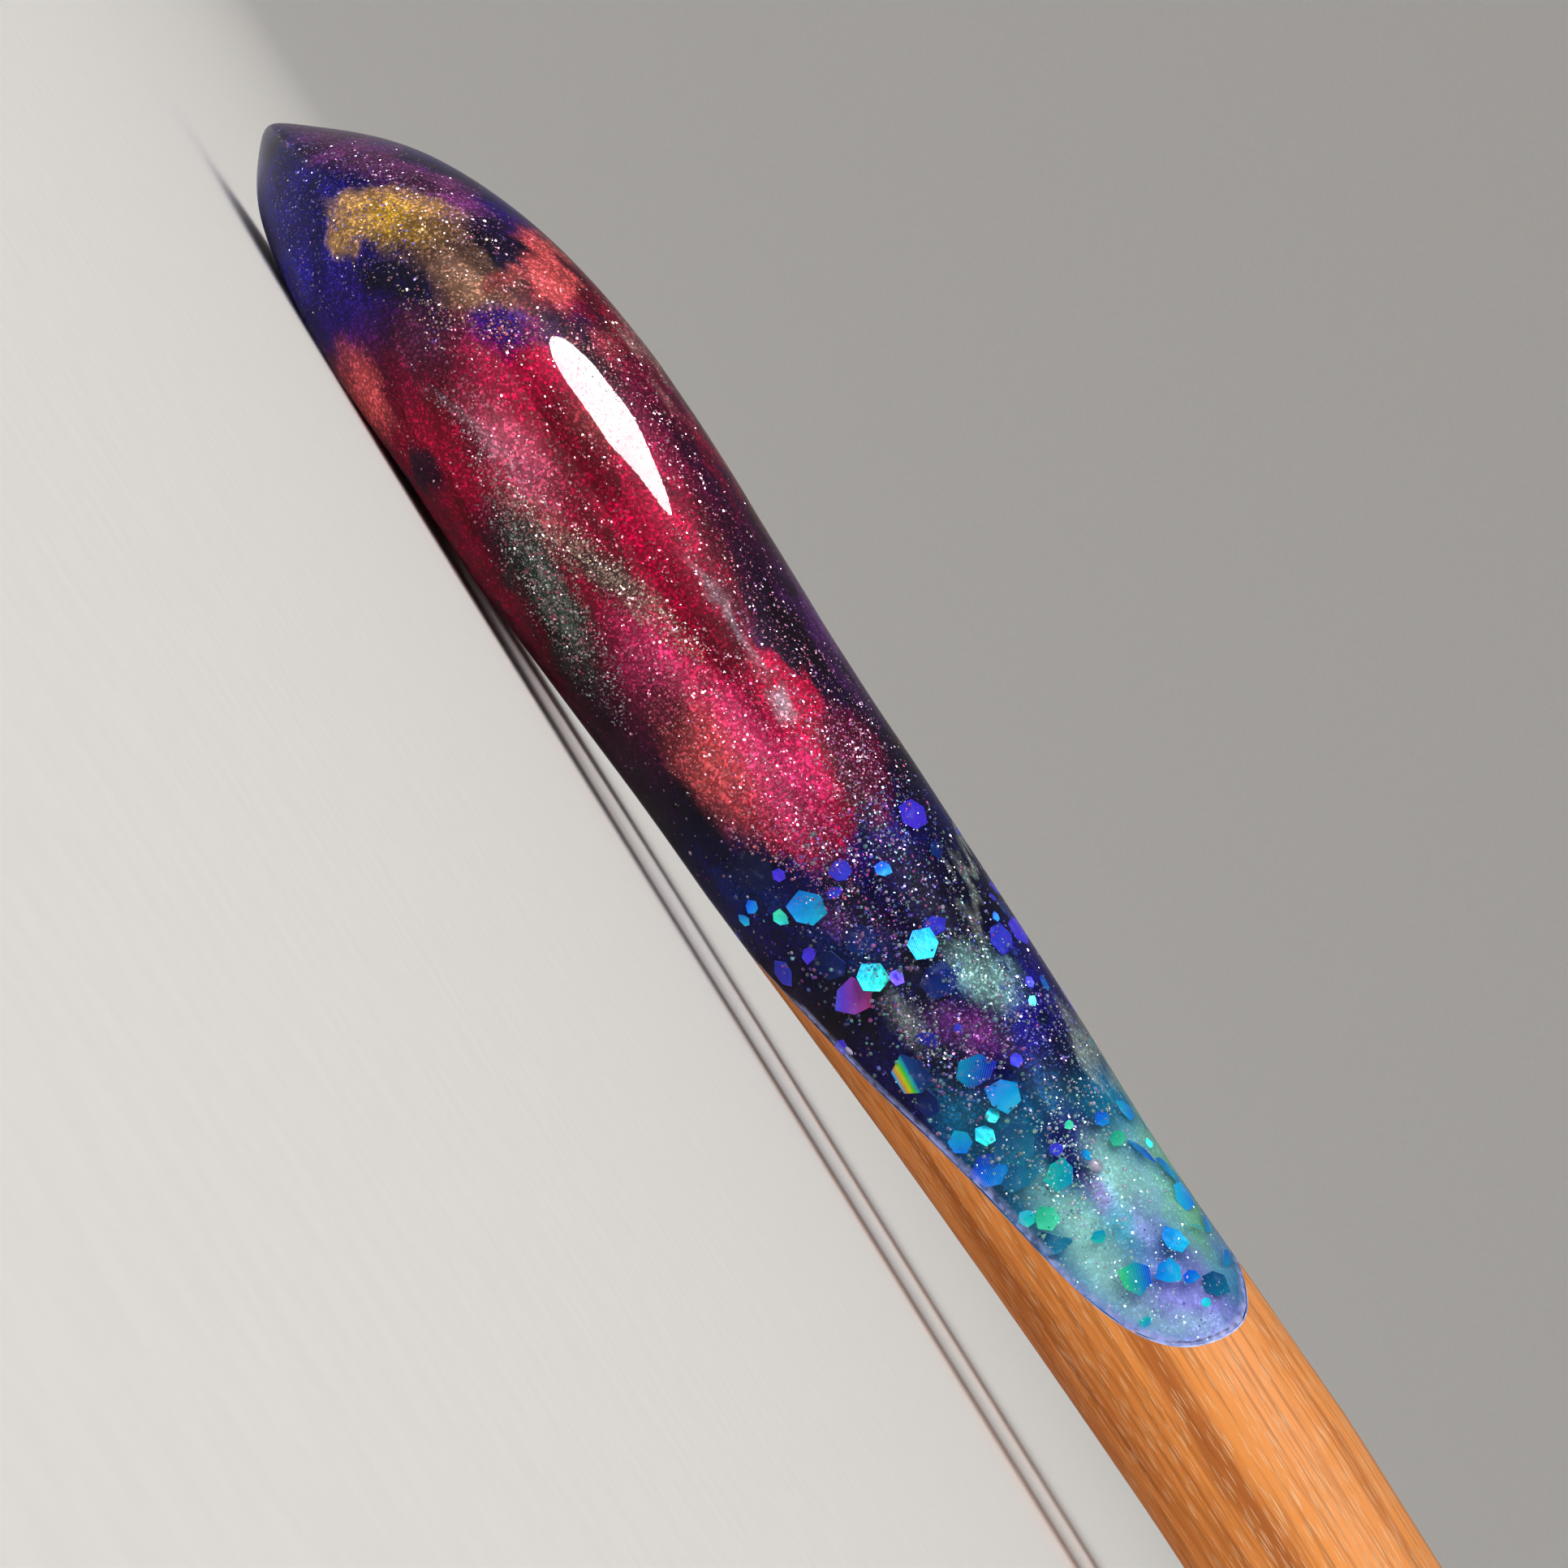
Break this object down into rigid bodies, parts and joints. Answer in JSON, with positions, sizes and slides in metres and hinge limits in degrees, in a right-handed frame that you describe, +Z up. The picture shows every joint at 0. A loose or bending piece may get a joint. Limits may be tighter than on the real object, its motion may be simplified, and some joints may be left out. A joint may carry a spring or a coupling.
{
  "type": "hair fork",
  "caption": "Hair fork: a rounded glitter-resin crown with a thin edge, joined on a slant to tapering, gently arched wooden prongs on either side of an open slot.",
  "frame": {"origin": "centre of the fork's bounding box, at the surface that it rests on", "axes": "+X from the crown's edge along the prongs to their points, +Y across the fork, +Z up from the hollow side, which faces the head and rests on the surface, to the raised outer side"},
  "size_m": [0.135, 0.035, 0.0094],
  "materials": {
    "resin": "polished clear cast resin over swirled pearl pigment and hexagonal glitter",
    "wood": "sanded, satin-oiled reddish brown hardwood with fine open pores"
  },
  "bodies": {
    "root": {"crown": "resin", "left_prong": "wood", "right_prong": "wood"}
  },
  "joints": []
}
